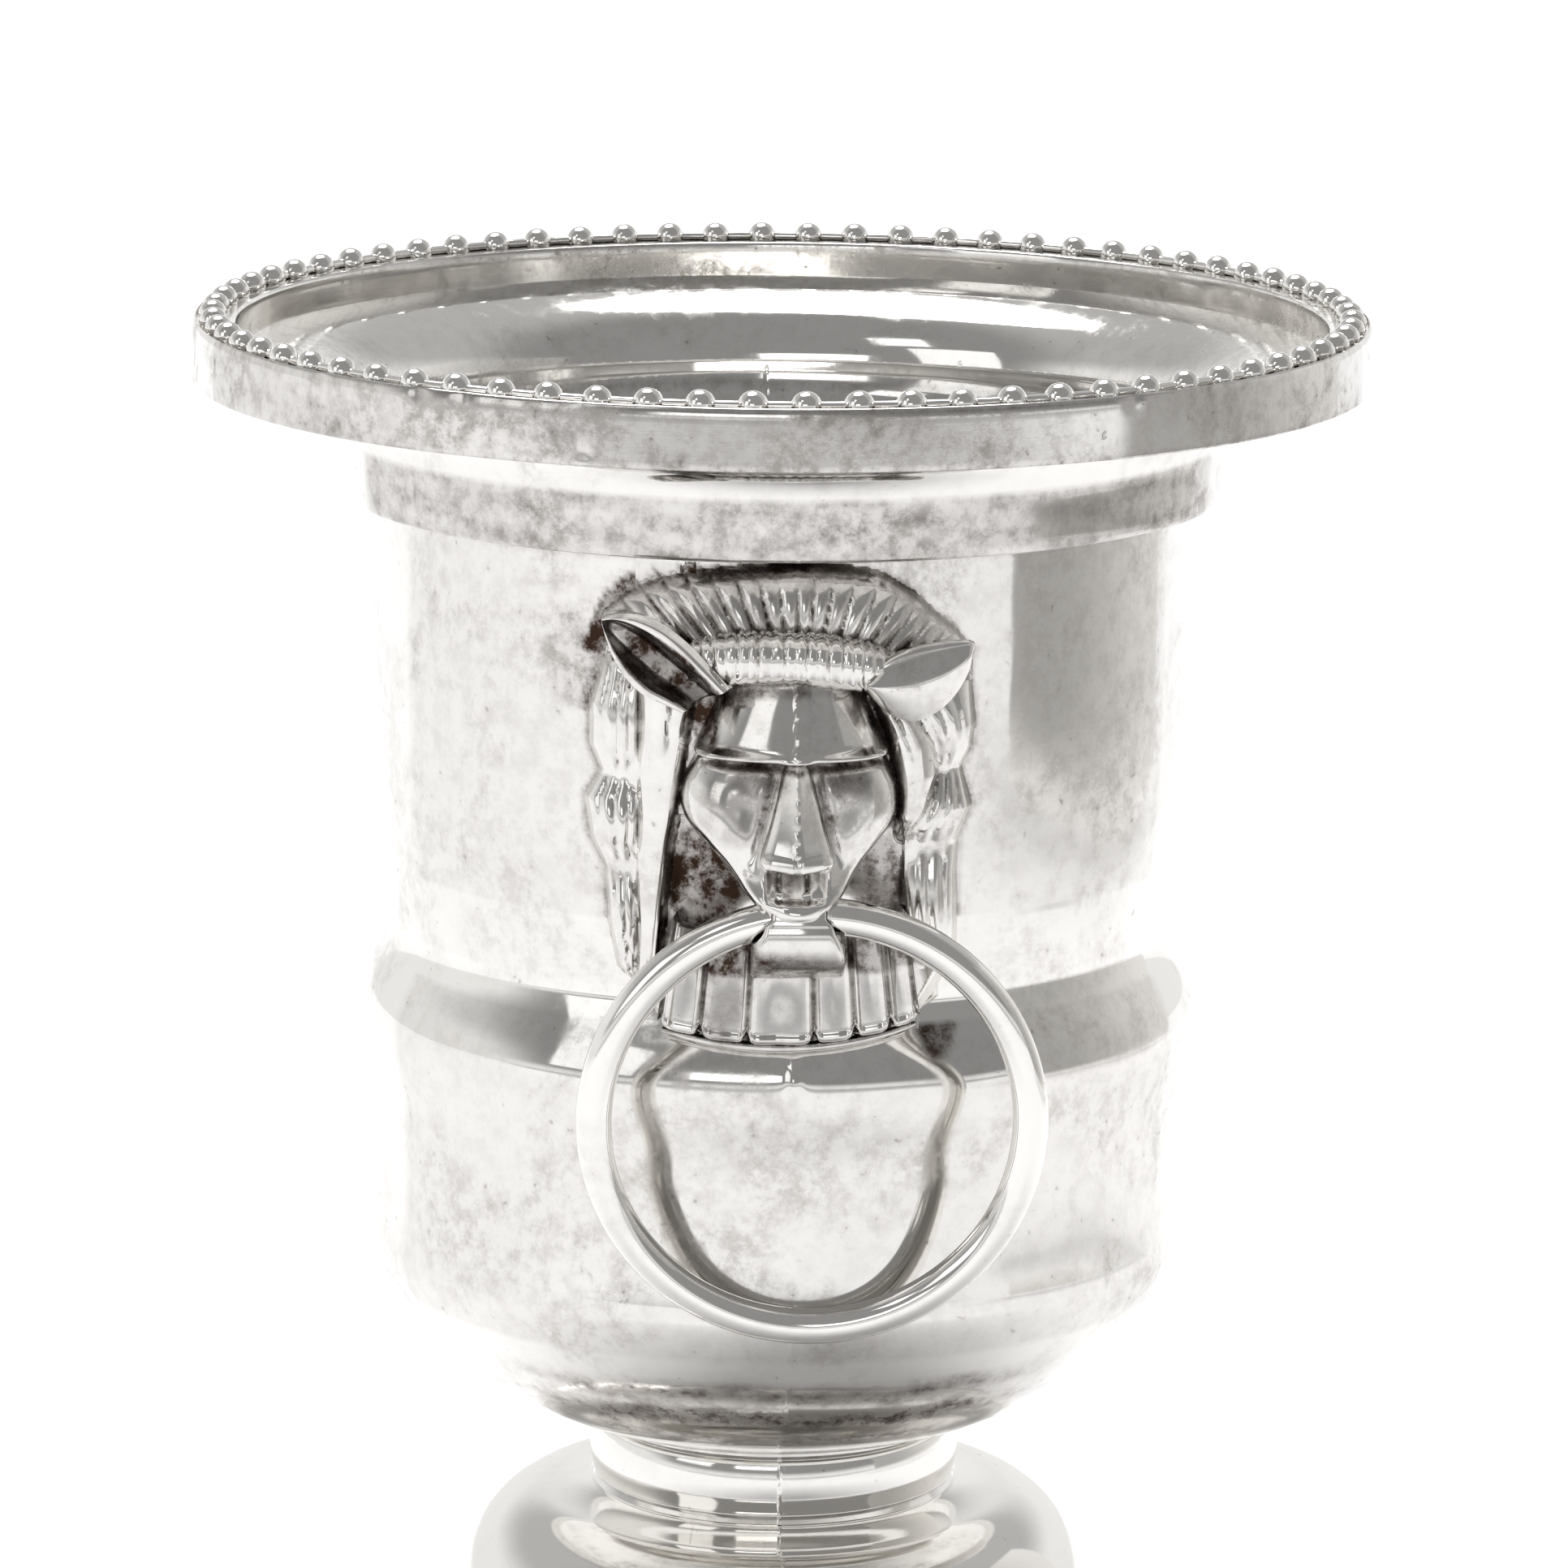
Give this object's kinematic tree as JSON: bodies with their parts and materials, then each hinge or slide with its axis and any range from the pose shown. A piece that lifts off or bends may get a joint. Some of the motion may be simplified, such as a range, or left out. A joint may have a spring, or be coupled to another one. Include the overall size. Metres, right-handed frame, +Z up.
{
  "type": "champagne bucket",
  "caption": "Urn-shaped silver-plated wine cooler with a beaded flared rim, lion masks that hold swinging ring handles, and a domed foot.",
  "frame": {"origin": "centre of the circle that the foot stands on", "axes": "+Z up along the bucket's axis, -Y towards the front lion mask, +X to the right seen from the front"},
  "size_m": [0.2034, 0.2034, 0.2568],
  "materials": {
    "body_silver": "silver plate over brass, polished with cloudy satin patches and light tarnish",
    "rim_silver": "silver plate, polished, with small nicks",
    "bead_silver": "silver plate, bright",
    "mask_silver": "silver plate, bright on the high parts, brown-black tarnish in the recesses",
    "ring_silver": "silver plate, polished",
    "foot_silver": "silver plate, polished, mottled",
    "fastener_brass": "plain turned brass"
  },
  "bodies": {
    "bucket": {"bucket_body": "body_silver", "rim_border": "rim_silver", "rim_beads": "bead_silver", "lion_mask_front": "mask_silver", "lion_mask_back": "mask_silver", "stem_collar": "foot_silver", "foot_dome": "foot_silver", "base_ring": "foot_silver", "stem_stud": "fastener_brass", "foot_washer": "fastener_brass", "foot_nut": "fastener_brass"},
    "front_ring": {"ring_handle_front": "ring_silver"},
    "back_ring": {"ring_handle_back": "ring_silver"}
  },
  "joints": [
    {"name": "front_ring_swing", "type": "hinge", "parent": "bucket", "child": "front_ring", "pos_m": [0, -0.0838, 0.1665], "axis": [-1, 0, 0], "range_deg": [0, 185]},
    {"name": "back_ring_swing", "type": "hinge", "parent": "bucket", "child": "back_ring", "pos_m": [0, 0.0838, 0.1665], "axis": [1, 0, 0], "range_deg": [0, 185]}
  ]
}
